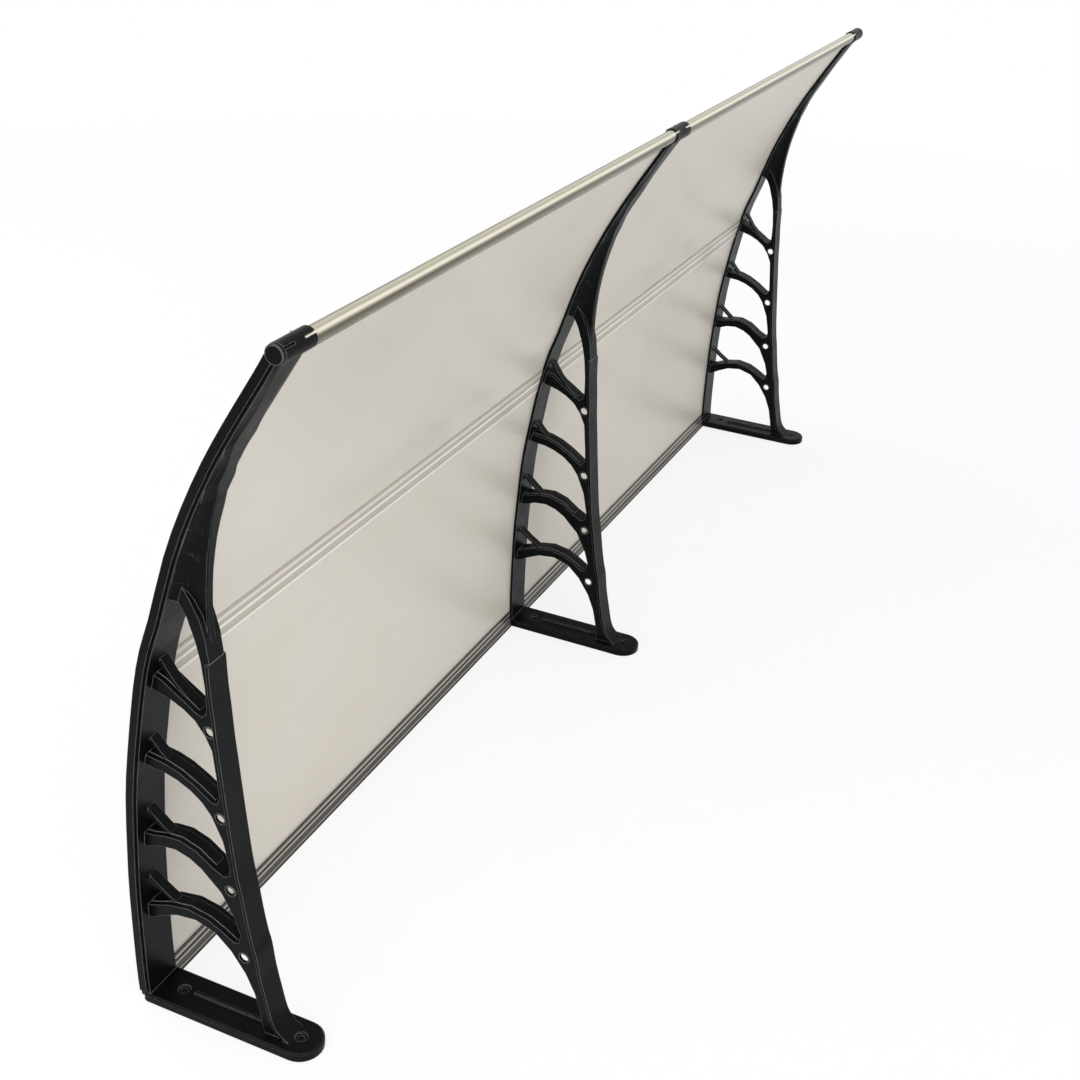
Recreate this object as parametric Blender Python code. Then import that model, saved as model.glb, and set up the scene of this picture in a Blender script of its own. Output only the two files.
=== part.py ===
"""Door canopy awning, standing on its three wall plates.

X runs along the canopy from the left bracket to the right one, Z points out
from the wall, and Y points to the sheet side. The origin is the middle of the
middle plate's wall face; the profiles below are measured from the plates'
sheet end and moved there last. Lengths are in metres, profiles in millimetres.
"""

import math

import bmesh
import bpy
from mathutils import Matrix, Vector

# Driving dimensions
BRACKET_SPACING = 0.980
FLANGE_HALF = 0.0246  # half width of the outer beam
FRAME_HALF = 0.013  # half width of the arches
BEAM_HALF = 0.0155  # half width of the inner beam's lip
CORE_HALF = 0.0065  # half width of the struts and of the ridge along each arch
RIDGE_UP = 0.0008
STRUT_T = 0.0036
ARM_THIN_HALF, ARM_FLARE, ARM_FADE, ARM_ROOT = 0.0055, 0.0183, 0.008, 0.0028
SLOT_WEB_HALF = 0.003
CAP_T = 0.003
SHEET_T = 0.005
FIT = 0.0003
INNER_FLANGE_T = 0.0045
PLATE_HALF = 0.0275
PLATE_T = 0.012
PLATE_REAR_Y = 0.001
PLATE_TOE_Y = -0.230
PLATE_HOLE_R = 0.0042
ORIGIN_SHIFT_Y = -(PLATE_REAR_Y + PLATE_TOE_Y) / 2  # the origin is the middle plate's centre
PLATE_HOLES_Y = (-0.040, -0.203)
PLATE_RIB_Y = (-0.053, -0.164)
TIP = (-0.2240, 0.8600)  # axis of the front bar
SLEEVE_R = 0.0108
SLEEVE_HALF = 0.025
BORE_R = 0.0089
BAR_R = 0.0086
BAR_BORE_R = 0.0070
SOCKET_DEPTH = 0.020
LIP_T = 0.0013
SHEET_SPLIT_Z = 0.457
SHEET_BOTTOM_Z = 0.0125
SHEET_TOP_Z = 0.8515
STRIP_HALF = 0.0206  # half the height of a joint strip
STRIP_T = 0.0014
SEAL_T = 0.003
SCREW_X = 0.015
SCREW_R = 0.0015
SCREW_HEAD_R = 0.0034
SCREW_WAY = (0.0, 0.96, 0.28)  # from the bar's axis to the side away from the arches
RAIL_TOP_Z = 0.028

# Side profiles, (y, z) in millimetres
CAP_LINE = [(3, 0), (4, 18), (5, 60), (4, 158), (1, 220), (-5, 301), (-14, 364),
            (-30, 451), (-43, 502), (-58, 543), (-84, 622), (-109, 681),
            (-137, 736), (-163, 780), (-189, 821), (-206, 848), (-214, 862)]
BEAM_FACE = [(-198, 10), (-184, 19), (-175, 33), (-168, 64), (-162, 94),
             (-158, 125), (-154, 141), (-149, 169), (-144, 205), (-138, 243),
             (-131, 317), (-127, 365), (-124, 400), (-122, 437), (-120, 463),
             (-119, 500)]
ARM_EDGE = [(-118.5, 480), (-118, 500), (-116, 535), (-116, 566), (-119, 604), (-125, 640),
            (-134, 676), (-145, 709), (-160, 742), (-179, 775), (-199, 808),
            (-216, 836), (-227, 852)]
ARCH_TOP = [(-119, 500), (-116, 528), (-110, 551), (-100, 571), (-89, 588)]
# Each opening: heights where it meets the outer beam, then its points from the top round to the bottom,
# with the index from which they are the top of the arch below
OPENINGS = [
    (466, 570, 9, [(-82, 569), (-89, 561), (-95, 550), (-104, 522), (-108.5, 500), (-111.5, 470), (-112, 446),
                   (-111, 437), (-105, 431), (-98, 434), (-88, 441), (-74, 450), (-58, 461)]),
    (357, 448, 9, [(-53, 445), (-67, 441), (-82, 434), (-96, 424), (-107, 409), (-115, 392), (-119, 351),
                   (-120.5, 331), (-116, 322), (-110, 322), (-90, 336), (-70, 347), (-52, 353), (-38, 355)]),
    (246, 345, 10, [(-33, 343), (-50, 341.5), (-66, 337), (-83, 329), (-97, 318), (-108, 304), (-121, 274),
                    (-128, 240), (-126.5, 228), (-119, 224), (-105, 231), (-84, 246), (-62, 253), (-42, 251.5), (-25, 247)]),
    (140, 229, 9, [(-21, 230), (-36, 236), (-56, 238), (-74, 233), (-89, 224), (-114, 200), (-130, 169),
                   (-136.5, 147), (-133, 134), (-127, 132), (-111, 142), (-92, 151.5), (-66, 156), (-38, 151), (-18, 143)]),
    (12, 122, 99, [(-15, 124), (-29, 132), (-49, 141), (-75, 144.5), (-101, 137), (-122, 118), (-140, 92),
                   (-151, 66), (-157, 40), (-162, 9)]),
]
# Upper edge of the strut in the corner above each arch, with the height where it meets the outer beam
STRUTS = [(485, [(-92, 436), (-84, 445), (-68, 460), (-54, 481)]),
          (378, [(-60, 342), (-53, 350.5), (-40, 364), (-31, 375)]),
          (278, [(-57, 241), (-50, 248), (-34, 261), (-19, 274)]),
          (180, [(-51, 146), (-43, 154), (-25, 166), (-12, 176.5)])]
# Through holes where each arch meets the inner beam: a thin web on one side, a deep pocket behind it
NODES = [(-113, 414.5), (-119.5, 304), (-126.5, 207), (-139, 115)]
NODE_HOLE_R, NODE_RIM, NODE_WEB_T = 0.0057, 0.0016, 0.0030
NODE_POCKET = (0.0100, -0.0133)  # how far the pocket runs, in y and z

MM = 0.001
COLOURS = {
    "black plastic": ((0.018, 0.020, 0.021), 0.0, 0.34),
    "champagne aluminium": ((0.62, 0.56, 0.42), 1.0, 0.30),
    "bronze aluminium": ((0.075, 0.068, 0.060), 1.0, 0.38),
    "milky sheet": ((0.62, 0.59, 0.54), 0.0, 0.30),
    "clear joint profile": ((0.60, 0.61, 0.57), 0.0, 0.25),
    "black rubber": ((0.020, 0.020, 0.020), 0.0, 0.75),
    "zinc steel": ((0.50, 0.50, 0.49), 1.0, 0.32),
}


def clear_scene():
    for item in list(bpy.data.objects):
        bpy.data.objects.remove(item, do_unlink=True)


def material(name):
    found = bpy.data.materials.get(name)
    if found:
        return found
    colour, metallic, roughness = COLOURS[name]
    made = bpy.data.materials.new(name)
    made.use_nodes = True
    shader = made.node_tree.nodes["Principled BSDF"]
    shader.inputs["Base Color"].default_value = (*colour, 1.0)
    shader.inputs["Metallic"].default_value = metallic
    shader.inputs["Roughness"].default_value = roughness
    made.diffuse_color = (*colour, 1.0)
    return made


def spline(points, steps=2):
    """Catmull-Rom through an open row of 2D points."""
    pts = [Vector(p) for p in points]
    pts = [2 * pts[0] - pts[1]] + pts + [2 * pts[-1] - pts[-2]]
    row = []
    for i in range(1, len(pts) - 2):
        a, b, c, d = pts[i - 1:i + 3]
        for k in range(steps):
            t = k / steps
            row.append(0.5 * (2 * b + (c - a) * t + (2 * a - 5 * b + 4 * c - d) * t * t
                              + (3 * b - a - 3 * c + d) * t ** 3))
    row.append(pts[-2])
    return row


def normals(row):
    """Unit normals on the left of an open row's direction."""
    found = []
    for i in range(len(row)):
        way = (row[min(i + 1, len(row) - 1)] - row[max(i - 1, 0)]).normalized()
        found.append(Vector((-way.y, way.x)))
    return found


def offset(row, distance):
    return [p + n * distance for p, n in zip(row, normals(row))]


def at_z(row, z):
    """The point of an upward row at a height."""
    for a, b in zip(row, row[1:]):
        if a.y <= z <= b.y:
            return a.lerp(b, (z - a.y) / (b.y - a.y))
    return row[0] if z < row[0].y else row[-1]


def between(row, low, high):
    return [at_z(row, low)] + [p for p in row if low + 1e-4 < p.y < high - 1e-4] + [at_z(row, high)]


def add(name, build):
    """A new object from a bmesh that build fills."""
    bm = bmesh.new()
    build(bm)
    bmesh.ops.recalc_face_normals(bm, faces=bm.faces)
    mesh = bpy.data.meshes.new(name)
    bm.to_mesh(mesh)
    bm.free()
    made = bpy.data.objects.new(name, mesh)
    bpy.context.scene.collection.objects.link(made)
    return made


def sections(name, rings):
    """Rings of equal length joined one to the next, with both ends closed."""
    def build(bm):
        rows = [[bm.verts.new(p) for p in ring] for ring in rings]
        for one, two in zip(rows, rows[1:]):
            for i in range(len(one)):
                bm.faces.new((one[i - 1], one[i], two[i], two[i - 1]))
        bm.faces.new(rows[0])
        bm.faces.new(list(reversed(rows[-1])))
    return add(name, build)


def prism(name, loop, x0, x1):
    """A (y, z) loop in metres carried along X."""
    return sections(name, [[(x, p[0], p[1]) for p in loop] for x in (x0, x1)])


def cylinder(name, start, end, radius, sides=24):
    start, end = Vector(start), Vector(end)
    turn = (end - start).to_track_quat("Z", "Y")
    ring = [turn @ Vector((radius * math.cos(2 * math.pi * (k + 0.5) / sides),
                           radius * math.sin(2 * math.pi * (k + 0.5) / sides), 0)) for k in range(sides)]
    return sections(name, [[start + p for p in ring], [end + p for p in ring]])


def box(name, low, high):
    (x0, y0, z0), (x1, y1, z1) = low, high
    return sections(name, [[(x0, y0, z), (x1, y0, z), (x1, y1, z), (x0, y1, z)] for z in (z0, z1)])


def place(x):
    return Matrix.Translation((x, 0, 0))


def turned(angle, y, z):
    return Matrix.Translation((0, y, z)) @ Matrix.Rotation(angle, 4, "X")


def combine(target, tool, operation):
    modifier = target.modifiers.new("combine", "BOOLEAN")
    modifier.operation = operation
    modifier.solver = "MANIFOLD"  # EXACT leaves open edges where the arches meet the beams
    modifier.object = tool
    tool.hide_render = True
    tool.display_type = "WIRE"
    bpy.context.view_layer.update()
    shaped = bpy.data.meshes.new_from_object(target.evaluated_get(bpy.context.evaluated_depsgraph_get()))
    target.modifiers.clear()
    target.data = shaped
    bpy.data.objects.remove(tool, do_unlink=True)


def union(target, tool):
    combine(target, tool, "UNION")


def cut(target, tool):
    combine(target, tool, "DIFFERENCE")


def finish(piece, name, finish_name, smooth_angle=32):
    piece.name = name
    piece.data.name = name
    piece.data.materials.clear()
    piece.data.materials.append(material(finish_name))
    piece.data.polygons.foreach_set("material_index", [0] * len(piece.data.polygons))
    piece.data.shade_smooth()
    piece.data.set_sharp_from_angle(angle=math.radians(smooth_angle))
    return piece


CAP = spline([(y * MM, z * MM) for y, z in CAP_LINE], 2)  # upward: its left side is -Y
SLOT_OUT = CAP_T
SLOT_IN = SLOT_OUT + SHEET_T + 2 * FIT
FLANGE_IN = SLOT_IN + INNER_FLANGE_T
SHEET_MID = SLOT_OUT + FIT + SHEET_T / 2


def station(z):
    """Point and inward normal of the cap line at a height."""
    ways = normals(CAP)
    for i in range(len(CAP) - 1):
        a, b = CAP[i], CAP[i + 1]
        if a.y <= z <= b.y:
            t = (z - a.y) / (b.y - a.y)
            return a.lerp(b, t), ways[i].lerp(ways[i + 1], t).normalized()
    return CAP[-1], ways[-1]


def curved(name, near, far, low, high, x0, x1):
    """A strip that follows the cap line, between two depths and two heights."""
    rows = [station(low)]
    rows += [(p, n) for p, n in zip(CAP, normals(CAP)) if low + 0.001 < p.y < high - 0.001]
    rows.append(station(high))
    return sections(name, [[(x0, *(p + n * near)), (x1, *(p + n * near)), (x1, *(p + n * far)),
                            (x0, *(p + n * far))] for p, n in rows])


def ribbon(name, one, two, half):
    """A band between two rows of (y, z) points, as wide as given on both sides of the middle."""
    return sections(name, [[(-half, *p), (half, *p), (half, *q), (-half, *q)] for p, q in zip(one, two)])


def opening_loop(low, high, points):
    """An opening's outline: its own points, closed along the inside of the outer beam."""
    side = offset(CAP, SLOT_IN + 0.0030)
    return [Vector((y * MM, z * MM)) for y, z in points] + between(side, low * MM, high * MM)


def slot_loop(start, way, radius, steps=10):
    """A slot's outline: half a circle at each end of a move."""
    turn = math.atan2(way.y, way.x) + math.pi / 2
    half = [Vector((math.cos(turn + math.pi * k / steps), math.sin(turn + math.pi * k / steps))) * radius
            for k in range(steps + 1)]
    return [start + p for p in half] + [start + way - p for p in half]


def plate_outline(inset=0.0):
    half, rear, toe = PLATE_HALF - inset, PLATE_REAR_Y - inset, PLATE_TOE_Y + inset
    centre = toe + half
    corner = 0.006
    loop = [(half, rear - corner), (half - corner * 0.3, rear - corner * 0.3), (half - corner, rear),
            (corner - half, rear), (corner * 0.3 - half, rear - corner * 0.3), (-half, rear - corner)]
    loop += [(-half * math.cos(a), centre - half * math.sin(a))
             for a in (math.pi * k / 16 for k in range(17))]
    return loop


def screw_line(middle, side, near, far):
    """Start and end of a bar screw, measured from the bar's axis."""
    way = Vector(SCREW_WAY).normalized()
    foot = Vector((middle + side * SCREW_X, *TIP))
    return foot + way * near, foot + way * far


def arm():
    """The part above the arches: as wide as the outer beam where they meet, thin at its inner edge."""
    face = offset(CAP, FLANGE_IN)
    seats = [a.lerp(b, 0.37) for a, b in zip(face, face[1:])]  # clear of the flange's own edges
    rings = []
    for p in spline([(y * MM, z * MM) for y, z in ARM_EDGE]):
        beam = min(seats, key=lambda q: (q - p).length)
        start = beam + (beam - p).normalized() * ARM_ROOT
        depth = (p - start).length
        side = []
        for share in (0.0, 0.12, 0.25, 0.4, 0.6, 0.8, 0.97, 1.0):
            at = start.lerp(p, share)
            half = ARM_THIN_HALF + ARM_FLARE * math.exp(-max(share * depth - ARM_ROOT, 0) / ARM_FADE)
            side.append((half if share < 1 else half - 0.0015, at.x, at.y))
        rings.append([(x, y, z) for x, y, z in side] + [(-x, y, z) for x, y, z in reversed(side)])
    return sections("arm", rings)


def bracket(name, middle, bays):
    """One moulded bracket: plate, slotted outer beam, arches, inner beam, arm and sleeve."""
    levels = [(0.0, 0.0008), (0.0008, 0.0), (PLATE_T - 0.002, 0.0), (PLATE_T, 0.002)]
    body = sections(name, [[(x, y, z) for x, y in plate_outline(inset)] for z, inset in levels])

    low = 0.006
    frame_line = offset(CAP, SLOT_IN + 0.0012)
    flange_line = offset(CAP, SLOT_IN + 0.0030)
    beam = spline([(y * MM, z * MM) for y, z in BEAM_FACE], 3)
    arch = [Vector((y * MM, z * MM)) for y, z in ARCH_TOP]
    outer = list(reversed(between(frame_line, low, arch[-1].y - 0.002)))
    outline = [Vector((beam[0].x - 0.004, low))] + beam + arch[1:] + outer
    frame = prism("frame", outline, -FRAME_HALF, FRAME_HALF)
    union(frame, arm())
    for z0, z1, _, points in OPENINGS:
        cut(frame, prism("opening", opening_loop(z0, z1, points), -0.05, 0.05))
    for (z0, _, first, points), (meets, strut_points) in zip(OPENINGS, STRUTS):
        top = [Vector((y * MM, z * MM)) for y, z in points[first:]] + [at_z(flange_line, z0 * MM)]
        union(frame, ribbon("ridge", offset(top, RIDGE_UP), offset(top, -0.002), CORE_HALF))
        top = [Vector((y * MM, z * MM)) for y, z in strut_points] + [at_z(flange_line, meets * MM)]
        union(frame, ribbon("strut", top, offset(top, -STRUT_T), CORE_HALF))
    union(frame, ribbon("lip", offset(beam, 0.0004), offset(beam, -0.0036), BEAM_HALF))
    for y, z in NODES:
        centre = Vector((y * MM, z * MM))
        union(frame, cylinder("rim", (-FRAME_HALF - 0.0005, *centre), (0.002 - FRAME_HALF, *centre),
                              NODE_HOLE_R + NODE_RIM, 28))
        cut(frame, cylinder("node hole", (-0.03, *centre), (0.03, *centre), NODE_HOLE_R, 28))
        cut(frame, prism("pocket", slot_loop(centre, Vector(NODE_POCKET), NODE_HOLE_R + 0.0004),
                         NODE_WEB_T - FRAME_HALF, 0.05))
    union(body, frame)

    top = TIP[1] - 0.004
    union(body, curved("cap", 0, SLOT_OUT, low, top, -FLANGE_HALF, FLANGE_HALF))
    union(body, curved("flange", SLOT_IN, FLANGE_IN, low, top - 0.0005, -FLANGE_HALF, FLANGE_HALF))
    union(body, curved("core", SLOT_OUT / 2, SLOT_IN + 0.003, low + 0.0005, top - 0.001,
                       -SLOT_WEB_HALF, SLOT_WEB_HALF))

    y, z = TIP
    union(body, cylinder("sleeve", (-SLEEVE_HALF, y, z), (SLEEVE_HALF, y, z), SLEEVE_R, 28))
    for side in (-1, 1):
        floor = SLEEVE_HALF - SOCKET_DEPTH - 0.001
        cut(body, cylinder("bore", (side * floor, y, z), (side * 0.06, y, z), BORE_R, 24))
        x0, x1 = sorted((side * (floor + 0.004), side * 0.06))
        slit = box("slit", (x0, -0.0012, 0.0), (x1, 0.0012, 0.03))
        slit.data.transform(turned(0.9, y, z))
        cut(body, slit)
    for side in bays:
        cut(body, cylinder("pilot", *screw_line(0, side, 0.004, 0.02), SCREW_R + 0.0004, 12))
    for hole_y in PLATE_HOLES_Y:
        cut(body, cylinder("hole", (0, hole_y, -0.01), (0, hole_y, PLATE_T + 0.01), PLATE_HOLE_R, 20))
        cut(body, cylinder("seat", (0, hole_y, PLATE_T - 0.0025), (0, hole_y, PLATE_T + 0.0035),
                           PLATE_HOLE_R + 0.0035, 24))
    start, end = PLATE_RIB_Y
    union(body, prism("plate rib", [(start, PLATE_T - 0.002), (start - 0.004, PLATE_T + 0.0028),
                                    (end + 0.006, PLATE_T + 0.0028), (end, PLATE_T - 0.002)], -0.0016, 0.0016))
    body.data.transform(place(middle))
    return finish(body, name, "black plastic")


def end_cover(name, middle, side):
    """The strip that closes the slot's outer side, with a round head over the sleeve."""
    def across(x0, x1):
        return sorted((side * x0, side * x1))
    face = SLEEVE_HALF + FIT
    strip = curved(name, 0, SLOT_IN + 0.0012, 0.0145, TIP[1] - 0.002, *across(face, face + 0.0020))
    union(strip, curved("tongue", SLOT_OUT + 2 * FIT, SLOT_IN - 2 * FIT, 0.018, TIP[1] - 0.014,
                        *across(face - 0.012, face + 0.0010)))
    y, z = TIP
    for x0, x1, radius in ((face, face + 0.0034, SLEEVE_R - 0.0006), (face + 0.003, face + 0.0042, SLEEVE_R - 0.0018),
                           (face - 0.014, face + 0.001, BORE_R - FIT)):
        union(strip, cylinder("head", (side * x0, y, z), (side * x1, y, z), radius, 36))
    strip.data.transform(place(middle))
    return finish(strip, name, "black plastic")


def front_bar(name, left, right):
    """Tube with a channel along it for the sheet's front edge."""
    y, z = TIP
    inset = SLEEVE_HALF - SOCKET_DEPTH
    bar = cylinder(name, (left + inset, y, z), (right - inset, y, z), BAR_R, 32)
    edge, side = station(SHEET_TOP_Z)
    edge, way = edge + side * SHEET_MID, Vector((side.y, -side.x))
    def block(s0, s1, half, x0, x1):
        loop = [edge + way * s + side * n for s, n in ((s0, -half), (s1, -half), (s1, half), (s0, half))]
        return prism("channel", loop, x0, x1)
    x0, x1 = left + SLEEVE_HALF + 2 * FIT, right - SLEEVE_HALF - 2 * FIT
    gap = SHEET_T / 2 + FIT
    union(bar, block(-0.009, FIT + LIP_T, gap + LIP_T, x0, x1))
    union(bar, block(0.0008, 0.014, 0.0022, x0, x1))
    cut(bar, block(-0.02, FIT, gap, x0 - 0.01, x1 + 0.01))
    cut(bar, cylinder("bore", (left, y, z), (right, y, z), BAR_BORE_R, 28))
    for middle, way_x in ((left, 1), (right, -1)):
        cut(bar, cylinder("pilot", *screw_line(middle, way_x, 0.004, 0.02), SCREW_R + 0.0004, 12))
    return finish(bar, name, "champagne aluminium")


def rear_rail(name, left, right):
    """Aluminium profile that holds the sheet's wall edge."""
    mid = station(0.020)[0].x - SHEET_MID
    gap = SHEET_T / 2 + 2 * FIT
    low, top = SEAL_T + FIT, RAIL_TOP_Z
    front = mid - gap - 0.0018
    loop = [(mid + gap + 0.0016, low), (mid + gap + 0.0016, top), (mid + gap, top), (mid + gap, low + 0.0075),
            (mid - gap, low + 0.0075), (mid - gap, top), (front, top), (front, low + 0.0165),
            (front + 0.0008, low + 0.0160), (front + 0.0008, low + 0.0138), (front, low + 0.0132), (front, low + 0.0072),
            (front - 0.0022, low + 0.0052), (front - 0.0030, low + 0.0035), (front - 0.0030, low)]
    x0, x1 = left + PLATE_HALF + FIT, right - PLATE_HALF - FIT
    return finish(prism(name, loop, x0, x1), name, "bronze aluminium")


def rear_seal(name, left, right):
    mid = station(0.020)[0].x - SHEET_MID
    x0, x1 = left + PLATE_HALF + FIT, right - PLATE_HALF - FIT
    loop = [(mid - 0.0088, 0.0), (mid + 0.0052, 0.0), (mid + 0.0044, SEAL_T * 0.5), (mid + 0.0044, SEAL_T),
            (mid - 0.0080, SEAL_T), (mid - 0.0080, SEAL_T * 0.5)]
    return finish(prism(name, loop, x0, x1), name, "black rubber")


def sheet(name, left, right, low, high):
    inset = SLOT_WEB_HALF + 0.0008
    made = curved(name, SHEET_MID - SHEET_T / 2, SHEET_MID + SHEET_T / 2, low, high, left + inset, right - inset)
    return finish(made, name, "milky sheet")


def joint_strip(name, left, right):
    """H profile between a bay's two sheets."""
    x0, x1 = left + FLANGE_HALF + 2 * FIT, right - FLANGE_HALF - 2 * FIT
    z = SHEET_SPLIT_Z
    near, far = SHEET_T / 2 + FIT, SHEET_T / 2 + FIT + STRIP_T
    strip = curved(name, SHEET_MID - near - 0.0005, SHEET_MID + near + 0.0005, z - 0.0008, z + 0.0008,
                   x0 + 0.0005, x1 - 0.0005)
    for side in (-1, 1):
        depths = sorted((SHEET_MID + side * near, SHEET_MID + side * far))
        union(strip, curved("flange", *depths, z - STRIP_HALF, z + STRIP_HALF, x0, x1))
    return finish(strip, name, "clear joint profile")


def bar_screw(name, middle, side):
    screw = cylinder(name, *screw_line(middle, side, 0.0045, SLEEVE_R + 0.001), SCREW_R, 12)
    union(screw, cylinder("head", *screw_line(middle, side, SLEEVE_R + FIT, SLEEVE_R + 0.0022), SCREW_HEAD_R, 20))
    slot = cylinder("drive", *screw_line(middle, side, SLEEVE_R + 0.0010, SLEEVE_R + 0.004), 0.0013, 6)
    cut(screw, slot)
    return finish(screw, name, "zinc steel")


def main():
    clear_scene()
    left, middle, right = -BRACKET_SPACING, 0.0, BRACKET_SPACING
    bracket("bracket_left", left, (1,))
    bracket("bracket_middle", middle, (-1, 1))
    bracket("bracket_right", right, (-1,))
    end_cover("end_cover_left", left, -1)
    end_cover("end_cover_right", right, 1)
    for bay, x0, x1 in (("left", left, middle), ("right", middle, right)):
        front_bar(f"front_bar_{bay}", x0, x1)
        rear_rail(f"rear_rail_{bay}", x0, x1)
        rear_seal(f"rear_seal_{bay}", x0, x1)
        sheet(f"panel_lower_{bay}", x0, x1, SHEET_BOTTOM_Z, SHEET_SPLIT_Z - 0.0012)
        sheet(f"panel_upper_{bay}", x0, x1, SHEET_SPLIT_Z + 0.0012, SHEET_TOP_Z)
        joint_strip(f"joint_strip_{bay}", x0, x1)
        bar_screw(f"bar_screw_{bay}_a", x0, 1)
        bar_screw(f"bar_screw_{bay}_b", x1, -1)
    for piece in bpy.data.objects:
        piece.data.transform(Matrix.Translation((0, ORIGIN_SHIFT_Y, 0)))


main()
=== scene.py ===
"""Looks of the door canopy: finishes for the CAD pieces, twin-wall sheets and ribbed joint profiles."""

import math

import bmesh
import bpy
from mathutils import Matrix, Vector


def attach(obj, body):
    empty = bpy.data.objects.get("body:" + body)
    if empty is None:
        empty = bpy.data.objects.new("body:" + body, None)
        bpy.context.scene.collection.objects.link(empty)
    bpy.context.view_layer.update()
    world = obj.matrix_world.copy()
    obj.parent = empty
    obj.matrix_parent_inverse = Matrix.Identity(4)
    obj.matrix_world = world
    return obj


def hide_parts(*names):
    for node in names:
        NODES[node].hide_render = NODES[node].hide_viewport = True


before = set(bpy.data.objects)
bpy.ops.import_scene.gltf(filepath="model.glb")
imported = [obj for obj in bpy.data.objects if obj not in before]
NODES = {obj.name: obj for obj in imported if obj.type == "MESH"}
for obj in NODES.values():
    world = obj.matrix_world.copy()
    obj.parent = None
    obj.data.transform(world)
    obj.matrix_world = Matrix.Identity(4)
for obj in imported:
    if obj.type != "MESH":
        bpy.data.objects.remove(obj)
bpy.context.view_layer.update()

# The same profile and depths as the CAD model, in metres
MM = 0.001
SPACING = 0.980
# Added to the profile's Y, so that the canopy stands about the origin
SHIFT_Y = 0.1145
# Y and Z of the brackets' outer line, in millimetres
CAP_LINE = [(3, 0), (4, 18), (5, 60), (4, 158), (1, 220), (-5, 301), (-14, 364),
            (-30, 451), (-43, 502), (-58, 543), (-84, 622), (-109, 681),
            (-137, 736), (-163, 780), (-189, 821), (-206, 848), (-214, 862)]
CAP_STEPS = 12
CAP_T, FIT, SHEET_T = 0.003, 0.0003, 0.005
SHEET_MID = CAP_T + FIT + SHEET_T / 2
# Bottom and top of the lower sheets, then of the upper ones
SHEET_Z = (0.0125, 0.4558, 0.4582, 0.8515)
STRIP_Z, STRIP_HALF, STRIP_T = 0.457, 0.0206, 0.0014
# From the middle of a bracket to the ends of the sheets, and to the ends of the joint profiles
END_INSET, FLANGE_END = 0.0038, 0.0252
# The axis of the front bars
TIP_Y, TIP_Z = -0.2240 + SHIFT_Y, 0.8600
RAIL_H = 0.028

# The inside of a twin-wall sheet
FLUTE_PITCH = 0.0062
SKIN_T, WEB_T = 0.00045, 0.00040
SHARP_ANGLE = math.radians(30)
# Which corners through the sheet's depth its end closes, at a flute and at a web
SKINS = ((0, 1), (2, 3))
WHOLE = ((0, 1), (1, 2), (2, 3))

# The ribs of a joint profile
RIB_STEP, RIB_DEPTH = 0.0017, 0.00045
LIP_DROP = 0.0005
PROFILE_WEB_HALF = 0.0008

# Finishes
UV_LAYER = "metres"
WHITE = (1.0, 1.0, 1.0)
# Painted highlight: the pale colour laid along the plastic's edges
EDGE_HIGHLIGHT_COLOUR = (0.340, 0.365, 0.355, 1.0)
EDGE_SOFT, EDGE_FULL = 0.075, 0.22
# Width of one band of a Wave texture of scale 1
WAVE_PERIOD = math.pi / 10
# Sockets of a Mix node that stand for colours
MIX_FACTOR, MIX_A, MIX_B, MIX_RESULT = 0, 6, 7, 2

# Floor, world and lamps
FLOOR_SIZE = 40
FLOOR_DROP = 0.0002
# Share of plain white in the floor near the object, and where it becomes the whole
FLOOR_WHITE = 0.80
FADE_START, FADE_END = 1.5, 4.0
WORLD_LIGHT = 0.64
# Name, place, target, size and watts
LAMPS = (("key", (-2.4, -2.3, 3.0), (-0.2, 0, 0.4), (2.6, 2.6), 72),
         ("front", (-3.2, 0.4, 2.0), (0, 0, 0.5), (2.0, 2.0), 28),
         ("back", (0.4, 3.0, 2.8), (-0.2, 0, 0.4), (3.0, 2.4), 45))

# Camera
CAMERA_PLACE = (-1.058 - SPACING, -0.933 + SHIFT_Y, 1.343)
AZIMUTH, ELEVATION, ROLL = math.radians(66.42), math.radians(-27.96), math.radians(2.83)
SENSOR = 36.0
FOCAL_PIXELS, PHOTO_PIXELS = 1512, 1080
CLIP_START = 0.01


def spline(points, steps):
    """A smooth line through the points, with its ends carried straight on."""
    pts = [Vector(p) for p in points]
    pts = [2 * pts[0] - pts[1]] + pts + [2 * pts[-1] - pts[-2]]
    row = []
    for i in range(1, len(pts) - 2):
        a, b, c, d = pts[i - 1:i + 3]
        for k in range(steps):
            t = k / steps
            row.append(0.5 * (2 * b + (c - a) * t + (2 * a - 5 * b + 4 * c - d) * t * t
                              + (3 * b - a - 3 * c + d) * t ** 3))
    row.append(pts[-2])
    return row


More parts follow.
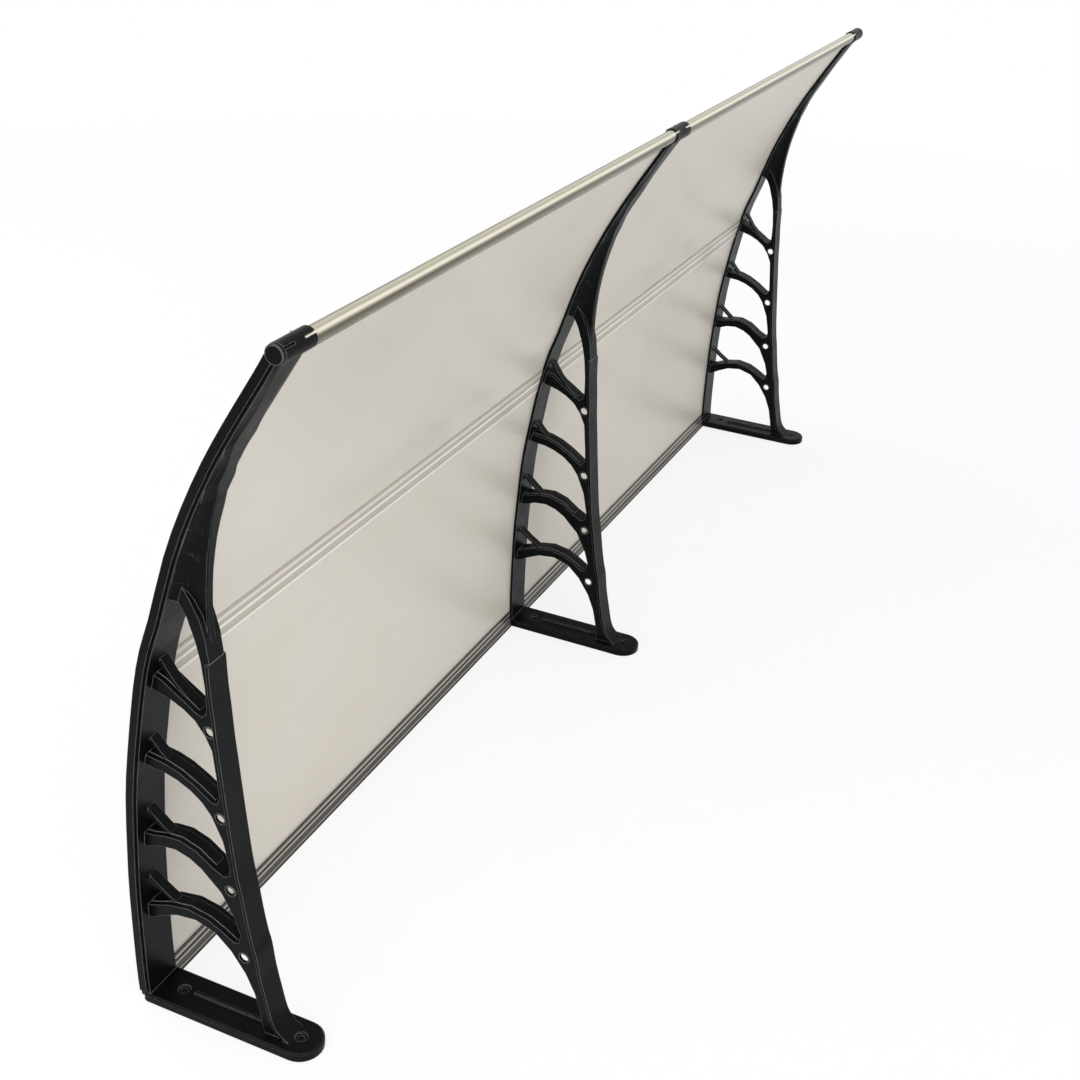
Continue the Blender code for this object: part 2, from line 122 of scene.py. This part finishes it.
class Path:
    """The cap line by arc length, with its inward normal."""

    def __init__(self):
        self.points = spline([(y * MM, z * MM) for y, z in CAP_LINE], CAP_STEPS)
        self.lengths = [0.0]
        for a, b in zip(self.points, self.points[1:]):
            self.lengths.append(self.lengths[-1] + (b - a).length)

    def length_at(self, z):
        for i, (a, b) in enumerate(zip(self.points, self.points[1:])):
            if a.y <= z <= b.y:
                return self.lengths[i] + (b - a).length * (z - a.y) / (b.y - a.y)
        return self.lengths[-1]

    def at(self, s):
        i = max(0, min(len(self.points) - 2, sum(1 for v in self.lengths if v <= s) - 1))
        a, b = self.points[i], self.points[i + 1]
        t = (s - self.lengths[i]) / (self.lengths[i + 1] - self.lengths[i])
        before = self.points[max(i - 1, 0)]
        after = self.points[min(i + 2, len(self.points) - 1)]
        way = ((b - before) * (1 - t) + (after - a) * t).normalized()
        return a.lerp(b, t), Vector((-way.y, way.x))

    def place(self, s, depth):
        """Y and Z of a point at arc length s, that deep inside the cap line."""
        point, normal = self.at(s)
        return (point.x + normal.x * depth + SHIFT_Y, point.y + normal.y * depth)

    def arc_of(self, co):
        """Arc length of the place on the cap line nearest to a point."""
        y, z = co.y - SHIFT_Y, co.z

        def distance(i):
            return (self.points[i].x - y) ** 2 + (self.points[i].y - z) ** 2

        nearest = min(range(len(self.points)), key=distance)
        start = max(nearest - 1, 0)
        a = self.points[start]
        b = self.points[min(nearest + 1, len(self.points) - 1)]
        return self.lengths[start] + (Vector((y, z)) - a).dot((b - a).normalized())


PATH = Path()


# Meshes

def new_object(name, bm, material):
    mesh = bpy.data.meshes.new(name)
    bm.to_mesh(mesh)
    bm.free()
    made = bpy.data.objects.new(name, mesh)
    bpy.context.scene.collection.objects.link(made)
    mesh.materials.append(material)
    return made


def loft(bm, rings):
    """Rings of (x, y, z) joined one to the next, with both ends closed."""
    rows = [[bm.verts.new(p) for p in ring] for ring in rings]
    for one, two in zip(rows, rows[1:]):
        for i in range(len(one)):
            bm.faces.new((one[i - 1], one[i], two[i], two[i - 1]))
    bm.faces.new(list(reversed(rows[0])))
    bm.faces.new(rows[-1])


def steps_between(low, high, step):
    count = max(1, round((high - low) / step))
    return [low + (high - low) * i / count for i in range(count + 1)]


def unroll(bm):
    """U along the canopy and V along the sheet's arc, both in metres."""
    layer = bm.loops.layers.uv.new(UV_LAYER)
    for face in bm.faces:
        for loop in face.loops:
            co = loop.vert.co
            loop[layer].uv = (co.x, PATH.arc_of(co))


# Material nodes

def nodes_of(name):
    made = bpy.data.materials.new(name)
    made.use_nodes = True
    tree = made.node_tree
    return made, tree, tree.nodes["Principled BSDF"]


def plug(tree, item, sockets):
    """Links each of a node's sockets to an output, or sets it to a value."""
    for name, value in sockets.items():
        if isinstance(value, bpy.types.NodeSocket):
            tree.links.new(value, item.inputs[name])
        else:
            item.inputs[name].default_value = value


def node(tree, kind, sockets=None, **settings):
    made = tree.nodes.new(kind)
    for key, value in settings.items():
        setattr(made, key, value)
    plug(tree, made, sockets or {})
    return made


def calculate(tree, operation, one, two):
    return node(tree, "ShaderNodeMath", {0: one, 1: two}, operation=operation).outputs["Value"]


def map_range(tree, value, low, high, to_low=0.0, to_high=1.0):
    sockets = {"Value": value, "From Min": low, "From Max": high, "To Min": to_low, "To Max": to_high}
    return node(tree, "ShaderNodeMapRange", sockets).outputs["Result"]


def separated(tree, vector):
    return node(tree, "ShaderNodeSeparateXYZ", {"Vector": vector}).outputs


def ramp(tree, source, stops):
    """The colour at the source's place among (place, colour) stops."""
    made = node(tree, "ShaderNodeValToRGB", {"Fac": source})
    elements = made.color_ramp.elements
    while len(elements) < len(stops):
        elements.new(0.5)
    for element, (place, colour) in zip(elements, stops):
        element.position = place
        element.color = (*colour, 1.0)
    return made.outputs["Color"]


def grey_ramp(tree, source, *stops):
    return ramp(tree, source, [(place, (grey,) * 3) for place, grey in stops])


def mix(tree, factor, one, two, blend="MIX"):
    sockets = {MIX_FACTOR: factor, MIX_A: one, MIX_B: two}
    return node(tree, "ShaderNodeMix", sockets, data_type="RGBA", blend_type=blend).outputs[MIX_RESULT]


def multiplied(tree, one, two):
    return mix(tree, 1.0, one, two, "MULTIPLY")


def object_coordinates(tree):
    return node(tree, "ShaderNodeTexCoord").outputs["Object"]


def scaled(tree, vector, scale):
    return node(tree, "ShaderNodeMapping", {"Vector": vector, "Scale": scale}).outputs["Vector"]


def along_sheet(tree, scale):
    """Coordinates along the canopy and along the arc, in metres, times the scale."""
    return scaled(tree, node(tree, "ShaderNodeUVMap", uv_map=UV_LAYER).outputs["UV"], scale)


def noise(tree, vector, scale, detail=3.0, roughness=0.5):
    sockets = {"Vector": vector, "Scale": scale, "Detail": detail, "Roughness": roughness}
    return node(tree, "ShaderNodeTexNoise", sockets).outputs["Fac"]


def bump(tree, height, strength, distance, normal=None):
    sockets = {"Height": height, "Strength": strength, "Distance": distance}
    if normal:
        sockets["Normal"] = normal
    return node(tree, "ShaderNodeBump", sockets).outputs["Normal"]


def rounded(tree, radius):
    return node(tree, "ShaderNodeBevel", {"Radius": radius}, samples=4).outputs["Normal"]


def edges(tree, smooth_normal):
    """0 on faces and 1 along edges, from how far the rounded normal turns away from the face's own."""
    face = node(tree, "ShaderNodeNewGeometry").outputs["Normal"]
    dot = node(tree, "ShaderNodeVectorMath", {0: smooth_normal, 1: face}, operation="DOT_PRODUCT")
    return map_range(tree, dot.outputs["Value"], 1 - EDGE_SOFT, 1 - EDGE_FULL)


# Materials

def black_plastic():
    """Moulded plastic: fine grain, faint flow clouds, and a painted pale highlight along its edges, where
    rounded edges would catch the light.
    """
    made, tree, shader = nodes_of("moulded black plastic")
    vector = object_coordinates(tree)
    clouds = ramp(tree, noise(tree, vector, 7.0), [(0.3, (0.0020, 0.0023, 0.0025)),
                                                   (0.72, (0.0045, 0.0054, 0.0060))])
    smooth = rounded(tree, 0.0009)
    # The edge mask paints a pale highlight along every edge of the plastic
    plug(tree, shader, {
        "Base Color": mix(tree, edges(tree, smooth), clouds, EDGE_HIGHLIGHT_COLOUR),
        "Roughness": grey_ramp(tree, noise(tree, vector, 40.0, 4.0), (0.3, 0.30), (0.75, 0.42)),
        "Normal": bump(tree, noise(tree, vector, 900.0, 3.0, 0.6), 0.25, 0.00012, smooth),
        "Specular IOR Level": 0.06})
    return made


def drawn_metal(name, colour_and_light, grain, dull, gloss, radius, metallic):
    """Anodised aluminium: its colour with painted highlights and shade by the section's shape, and long fine
    streaks along it.
    """
    made, tree, shader = nodes_of(name)
    scale, roughness = grain
    streaks = noise(tree, scaled(tree, object_coordinates(tree), (0.6, 60, 60)), scale, 5.0, roughness)
    tint = ramp(tree, streaks, [(0.25, dull), (0.75, WHITE)])
    plug(tree, shader, {
        "Base Color": multiplied(tree, colour_and_light(tree), tint),
        "Roughness": grey_ramp(tree, streaks, (0.2, gloss[0]), (0.8, gloss[1])),
        "Normal": bump(tree, streaks, 0.12, 0.0001, rounded(tree, radius)),
        "Metallic": metallic})
    return made


def bar_colour_and_painted_light(tree):
    """The bar's colour by the angle about its axis, in turns: 0.75 is its top and 1.0 its front. Over its
    tan colour and dark groove lines it paints a highlight on the upper front and shade on the underside.
    """
    place = separated(tree, object_coordinates(tree))
    up = calculate(tree, "SUBTRACT", place["Z"], TIP_Z)
    back = calculate(tree, "SUBTRACT", place["Y"], TIP_Y)
    turn = map_range(tree, calculate(tree, "ARCTAN2", up, back), -math.pi, math.pi)
    # Painted light: the pale and bright bands are painted highlights, the shade and deep colours painted
    # shade on the lower front and underside
    groove, deep, shade = (0.24, 0.23, 0.18), (0.135, 0.12, 0.086), (0.30, 0.28, 0.21)
    tan, pale, bright = (0.50, 0.47, 0.37), (0.60, 0.575, 0.46), (0.92, 0.87, 0.75)
    return ramp(tree, turn, [
        (0.0, deep), (0.30, deep), (0.36, tan), (0.685, tan), (0.705, groove), (0.752, groove),
        (0.772, pale), (0.80, pale), (0.845, tan), (0.865, pale), (0.887, bright), (0.92, bright),
        (0.945, tan), (0.965, shade), (0.985, deep)])


def rail_colour_and_painted_highlights(tree):
    """The rail's colour by height: dark bronze flats with two bright lines, painted highlights that stand in
    for ribs the rail's shape lacks.
    """
    height = separated(tree, scaled(tree, object_coordinates(tree), (1, 1, 1 / RAIL_H)))["Z"]
    # The bright lines are painted highlights, not a drawn finish
    dark, brown = (0.060, 0.053, 0.046), (0.135, 0.120, 0.104)
    pale, bright = (0.30, 0.285, 0.25), (0.66, 0.635, 0.58)
    return ramp(tree, height, [
        (0.0, pale), (0.20, pale), (0.24, dark), (0.42, brown), (0.46, bright), (0.50, bright),
        (0.53, dark), (0.74, dark), (0.78, bright), (0.82, bright), (0.85, brown), (1.0, dark)])


def flute_lines(tree):
    """0 to 1 across each flute of the sheet, from its length along the arc."""
    sockets = {"Vector": along_sheet(tree, (1, 1, 1)), "Scale": WAVE_PERIOD / FLUTE_PITCH, "Distortion": 0.0}
    lines = node(tree, "ShaderNodeTexWave", sockets,
                 wave_type="BANDS", bands_direction="Y", wave_profile="SIN")
    return lines.outputs["Fac"]


def sheet_material():
    """Milky warm polycarbonate with its webs showing faintly through the skin."""
    made, tree, shader = nodes_of("milky twin-wall sheet")
    broad = noise(tree, along_sheet(tree, (1, 1, 1)), 2.6)
    fine = noise(tree, along_sheet(tree, (2.0, 160.0, 1)), 2.0, 4.0, 0.6)
    body = ramp(tree, broad, [(0.3, (0.690, 0.648, 0.574)), (0.5, (0.728, 0.685, 0.612)),
                              (0.7, (0.742, 0.706, 0.640))])
    webs = ramp(tree, flute_lines(tree), [(0.0, (0.945, 0.94, 0.93)), (0.22, WHITE)])
    tint = ramp(tree, fine, [(0.30, (0.965, 0.96, 0.95)), (0.70, WHITE)])
    plug(tree, shader, {
        "Base Color": multiplied(tree, multiplied(tree, body, webs), tint),
        "Normal": bump(tree, fine, 0.25, 0.0002),
        "Roughness": 0.36,
        "Specular IOR Level": 0.40,
        "Transmission Weight": 0.12,
        "IOR": 1.45})
    return made


def profile_material():
    """Translucent extrusion whose inner ribs show as pale and dark lines across its width."""
    made, tree, shader = nodes_of("translucent joint profile")
    mid = PATH.length_at(STRIP_Z)
    across = separated(tree, along_sheet(tree, (1, 1, 1)))["Y"]
    width = map_range(tree, across, mid - STRIP_HALF, mid + STRIP_HALF)
    dark, grey = (0.47, 0.435, 0.375), (0.54, 0.505, 0.44)
    pale, bright = (0.82, 0.76, 0.69), (0.94, 0.90, 0.81)
    lines = ramp(tree, width, [
        (0.0, pale), (0.04, bright), (0.10, bright), (0.16, dark), (0.25, grey), (0.41, grey),
        (0.46, bright), (0.52, bright), (0.59, dark), (0.72, grey), (0.79, pale), (0.86, pale),
        (0.92, dark), (0.97, dark), (1.0, grey)])
    fine = noise(tree, along_sheet(tree, (1.5, 420.0, 1)), 1.0, 3.0, 0.55)
    tint = ramp(tree, fine, [(0.3, (0.93, 0.93, 0.92)), (0.7, WHITE)])
    plug(tree, shader, {
        "Base Color": multiplied(tree, lines, tint),
        "Normal": bump(tree, fine, 0.3, 0.0002),
        "Roughness": 0.26,
        "Transmission Weight": 0.15})
    return made


def rubber():
    """Matt rubber with a coarse grain."""
    made, tree, shader = nodes_of("black rubber")
    grain = noise(tree, object_coordinates(tree), 260.0, 4.0)
    plug(tree, shader, {
        "Base Color": ramp(tree, grain, [(0.3, (0.012, 0.012, 0.012)), (0.7, (0.024, 0.023, 0.022))]),
        "Normal": bump(tree, grain, 0.3, 0.0002),
        "Roughness": 0.78})
    return made


def zinc():
    """Plated steel with fine spangle and softened edges."""
    made, tree, shader = nodes_of("zinc plated steel")
    grain = noise(tree, object_coordinates(tree), 500.0)
    plug(tree, shader, {
        "Base Color": ramp(tree, grain, [(0.3, (0.42, 0.42, 0.40)), (0.7, (0.60, 0.60, 0.58))]),
        "Normal": bump(tree, grain, 0.15, 0.0001, rounded(tree, 0.0003)),
        "Metallic": 1.0,
        "Roughness": 0.32})
    return made


BLACK = black_plastic()
CHAMPAGNE = drawn_metal("champagne anodised aluminium", bar_colour_and_painted_light, grain=(12.0, 0.65),
                        dull=(0.86, 0.85, 0.83), gloss=(0.20, 0.32), radius=0.0004, metallic=1.0)
BRONZE = drawn_metal("dark bronze anodised aluminium", rail_colour_and_painted_highlights, grain=(10.0, 0.6),
                     dull=(0.78, 0.77, 0.75), gloss=(0.30, 0.44), radius=0.0005, metallic=0.55)
SHEET, PROFILE, RUBBER, ZINC = sheet_material(), profile_material(), rubber(), zinc()
FINISHES = (("bracket", BLACK), ("end_cover", BLACK), ("front_bar", CHAMPAGNE), ("rear_rail", BRONZE),
            ("rear_seal", RUBBER), ("panel", SHEET), ("joint_strip", PROFILE), ("bar_screw", ZINC))


def dress_cad():
    """Each CAD node gets the finish that its name begins with."""
    for name, item in NODES.items():
        material = next(finish for start, finish in FINISHES if name.startswith(start))
        item.data.materials.clear()
        item.data.materials.append(material)


# Sheets and joint profiles

def twin_wall_sheet(name, x0, x1, z0, z1, cad):
    """Two thin skins with webs between them, open flutes at both ends."""
    bm = bmesh.new()
    s0, s1 = PATH.length_at(z0), PATH.length_at(z1)
    webs = round((s1 - s0 - WEB_T) / FLUTE_PITCH)
    pitch = (s1 - s0 - WEB_T) / webs
    near, far = SHEET_MID - SHEET_T / 2, SHEET_MID + SHEET_T / 2
    s_row = [s0]
    for k in range(webs):
        s_row += [s0 + WEB_T + pitch * k, s0 + pitch * (k + 1)]
    s_row.append(s1)
    # At each arc length four corners: both faces of the near skin, then both of the far one
    a, b = [[[bm.verts.new((x, *PATH.place(s, d))) for d in (near, near + SKIN_T, far - SKIN_T, far)]
             for s in s_row] for x in (x0, x1)]
    for i, (a0, a1, b0, b1) in enumerate(zip(a, a[1:], b, b[1:])):
        hollow = i % 2
        bm.faces.new((a0[0], a1[0], b1[0], b0[0]))
        bm.faces.new((a0[3], b0[3], b1[3], a1[3]))
        if hollow:
            bm.faces.new((a0[1], b0[1], b1[1], a1[1]))
            bm.faces.new((a0[2], a1[2], b1[2], b0[2]))
            bm.faces.new((a0[1], a0[2], b0[2], b0[1]))
            bm.faces.new((a1[1], b1[1], b1[2], a1[2]))
        for one, two in ((a0, a1), (b0, b1)):
            for low, high in SKINS if hollow else WHOLE:
                bm.faces.new((one[low], one[high], two[high], two[low]))
    for one, two in ((a[0], b[0]), (a[-1], b[-1])):
        for low, high in WHOLE:
            bm.faces.new((one[low], one[high], two[high], two[low]))
    bmesh.ops.recalc_face_normals(bm, faces=bm.faces)
    unroll(bm)
    made = new_object(name, bm, SHEET)
    for polygon in made.data.polygons:
        polygon.use_smooth = True
    made.data.set_sharp_from_angle(angle=SHARP_ANGLE)
    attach(made, "root")
    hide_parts(cad)


def ribbed_profile(name, x0, x1, cad):
    """H profile whose outer faces carry fine ribs along it."""
    bm = bmesh.new()
    mid = PATH.length_at(STRIP_Z)
    inner = SHEET_T / 2 + FIT
    outer = inner + STRIP_T
    steps = steps_between(-STRIP_HALF, STRIP_HALF, RIB_STEP)
    drops = [RIB_DEPTH * (i % 2) for i in range(len(steps))]
    drops[0] = drops[-1] = LIP_DROP
    ribs = [(t, outer - drop) for t, drop in zip(steps, drops)]
    section = [(t, -d) for t, d in ribs]
    section += [(STRIP_HALF, -inner), (PROFILE_WEB_HALF, -inner),
                (PROFILE_WEB_HALF, inner), (STRIP_HALF, inner)]
    section += [(t, d) for t, d in reversed(ribs)]
    section += [(-STRIP_HALF, inner), (-PROFILE_WEB_HALF, inner),
                (-PROFILE_WEB_HALF, -inner), (-STRIP_HALF, -inner)]
    loft(bm, [[(x, *PATH.place(mid + t, SHEET_MID + d)) for t, d in section] for x in (x0, x1)])
    bmesh.ops.triangulate(bm, faces=[f for f in bm.faces if len(f.verts) > 4])
    bmesh.ops.recalc_face_normals(bm, faces=bm.faces)
    unroll(bm)
    made = new_object(name, bm, PROFILE)
    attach(made, "root")
    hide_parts(cad)


def build_sheets():
    for bay, x0, x1 in (("left", -SPACING, 0.0), ("right", 0.0, SPACING)):
        for level, z0, z1 in (("lower", *SHEET_Z[:2]), ("upper", *SHEET_Z[2:])):
            twin_wall_sheet(f"twin_wall_{level}_{bay}", x0 + END_INSET, x1 - END_INSET, z0, z1,
                            f"panel_{level}_{bay}")
        ribbed_profile(f"ribbed_joint_{bay}", x0 + FLANGE_END, x1 - FLANGE_END, f"joint_strip_{bay}")


# Stage, lights and camera

def seen_directly(tree):
    """1 for rays that show the background itself: from the camera, in gloss and through what is clear."""
    rays = node(tree, "ShaderNodeLightPath").outputs
    mirrored = calculate(tree, "MAXIMUM", rays["Is Camera Ray"], rays["Is Glossy Ray"])
    return calculate(tree, "MAXIMUM", mirrored, rays["Is Transmission Ray"])


def pale_floor():
    """White floor that keeps a soft shadow and fades to plain white with distance."""
    bm = bmesh.new()
    bmesh.ops.create_grid(bm, x_segments=1, y_segments=1, size=FLOOR_SIZE)
    made, tree, shader = nodes_of("pale floor")
    place = object_coordinates(tree)
    speckle = noise(tree, place, 30.0, 2.0)
    plug(tree, shader, {"Base Color": grey_ramp(tree, speckle, (0.3, 0.92), (0.7, 0.94)), "Roughness": 0.9})
    distance = node(tree, "ShaderNodeVectorMath", {0: place}, operation="LENGTH").outputs["Value"]
    whiteness = map_range(tree, distance, FADE_START, FADE_END, FLOOR_WHITE, 1.0)
    blend = node(tree, "ShaderNodeMixShader", {
        "Fac": calculate(tree, "MULTIPLY", seen_directly(tree), whiteness),
        1: shader.outputs["BSDF"],
        2: node(tree, "ShaderNodeEmission").outputs["Emission"]})
    plug(tree, tree.nodes["Material Output"], {"Surface": blend.outputs["Shader"]})
    floor = new_object("floor", bm, made)
    floor.location.z = -FLOOR_DROP


def studio_world():
    """Plain white where it is seen, and softer as light."""
    world = bpy.data.worlds.new("studio")
    bpy.context.scene.world = world
    world.use_nodes = True
    tree = world.node_tree
    strength = map_range(tree, seen_directly(tree), 0.0, 1.0, WORLD_LIGHT, 1.0)
    plug(tree, tree.nodes["Background"], {"Color": (*WHITE, 1.0), "Strength": strength})


def area_light(name, place, target, size, power):
    data = bpy.data.lights.new(name, "AREA")
    data.shape = "RECTANGLE"
    data.size, data.size_y = size
    data.energy = power
    made = bpy.data.objects.new(name, data)
    bpy.context.scene.collection.objects.link(made)
    made.location = place
    made.rotation_euler = (Vector(target) - Vector(place)).to_track_quat("-Z", "Y").to_euler()


def camera():
    """Fitted to the photograph's outline of the brackets and bars."""
    level = math.cos(ELEVATION)
    forward = Vector((math.sin(AZIMUTH) * level, math.cos(AZIMUTH) * level, math.sin(ELEVATION)))
    right = Vector((math.cos(AZIMUTH), -math.sin(AZIMUTH), 0.0))
    up = right.cross(forward)
    across = right * math.cos(ROLL) + up * math.sin(ROLL)
    upward = up * math.cos(ROLL) - right * math.sin(ROLL)
    data = bpy.data.cameras.new("camera")
    data.sensor_width = SENSOR
    data.lens = SENSOR * FOCAL_PIXELS / PHOTO_PIXELS
    data.clip_start = CLIP_START
    made = bpy.data.objects.new("camera", data)
    bpy.context.scene.collection.objects.link(made)
    turned = Matrix((across, upward, -forward)).transposed().to_4x4()
    made.matrix_world = Matrix.Translation(CAMERA_PLACE) @ turned
    bpy.context.scene.camera = made


dress_cad()
build_sheets()
pale_floor()
studio_world()
for lamp in LAMPS:
    area_light(*lamp)
camera()
bpy.context.scene.view_settings.view_transform = "Standard"
